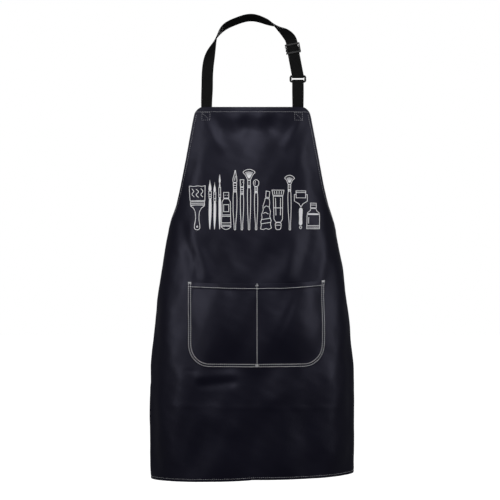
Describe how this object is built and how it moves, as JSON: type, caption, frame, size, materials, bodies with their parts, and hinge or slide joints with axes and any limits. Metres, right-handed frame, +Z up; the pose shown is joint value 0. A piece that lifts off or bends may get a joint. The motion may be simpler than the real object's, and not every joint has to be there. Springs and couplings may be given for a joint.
{
  "type": "artist smock apron",
  "caption": "Bib apron for painting with an adjustable webbing neck strap, a divided front pocket, printed tool figures and waist ties in a bow.",
  "frame": {"origin": "inside top of the neck strap, where a neck or a hook carries the apron", "axes": "+Z up, -Y the front of the apron, +X to the right of someone looking at its front"},
  "size_m": [0.4534, 0.2432, 1.0145],
  "materials": {
    "coated_cloth": "dark navy coated polyester with a soft satin sheen",
    "black_webbing": "ribbed black polypropylene webbing",
    "black_plastic": "moulded black plastic, half gloss",
    "white_thread": "white polyester sewing thread",
    "black_thread": "grey polyester sewing thread",
    "white_film": "heat-pressed white film, matt"
  },
  "bodies": {
    "neck_loop": {"neck_strap": "black_webbing", "square_ring": "black_plastic", "strap_return": "black_webbing"},
    "slider": {"slider": "black_plastic", "strap_end": "black_webbing", "strap_end_thread": "black_thread"},
    "apron": {"armhole_thread_left": "black_thread", "armhole_thread_right": "black_thread", "body_panel": "coated_cloth", "bottom_hem_thread": "black_thread", "bow_knot": "black_webbing", "pocket_bartacks": "white_thread", "pocket_divider_thread": "white_thread", "pocket_inner_thread": "white_thread", "pocket_mouth_thread": "white_thread", "pocket_outer_thread": "white_thread", "pocket_panel": "coated_cloth", "print_brayer": "white_film", "print_cap_down_tube": "white_film", "print_fan_brush": "white_film", "print_fan_brush_small": "white_film", "print_flat_brush": "white_film", "print_ink_bottle": "white_film", "print_liner_brush": "white_film", "print_mop_brush": "white_film", "print_narrow_brush": "white_film", "print_paint_tube": "white_film", "print_pointed_brush": "white_film", "print_round_brush": "white_film", "print_squeezed_tube": "white_film", "print_thin_brush": "white_film", "ring_tab": "black_webbing", "side_hem_thread_left": "black_thread", "side_hem_thread_right": "black_thread", "strap_left_end": "black_webbing", "strap_thread_left": "black_thread", "strap_thread_right": "black_thread", "tie_thread_left": "black_thread", "tie_thread_right": "black_thread", "top_hem_thread": "black_thread", "waist_tie_left": "black_webbing", "waist_tie_right": "black_webbing"}
  },
  "joints": [
    {"name": "apron_swing", "type": "hinge", "parent": "neck_loop", "child": "apron", "pos_m": [0.098, -0.09, -0.14575], "axis": [1, 0, 0], "range_deg": [-60, 60]},
    {"name": "slider_slide", "type": "slide", "parent": "neck_loop", "child": "slider", "axis": [0.1825, 0, -0.9832], "range_m": [0, 0.03], "deforming": ["strap_return"]}
  ]
}
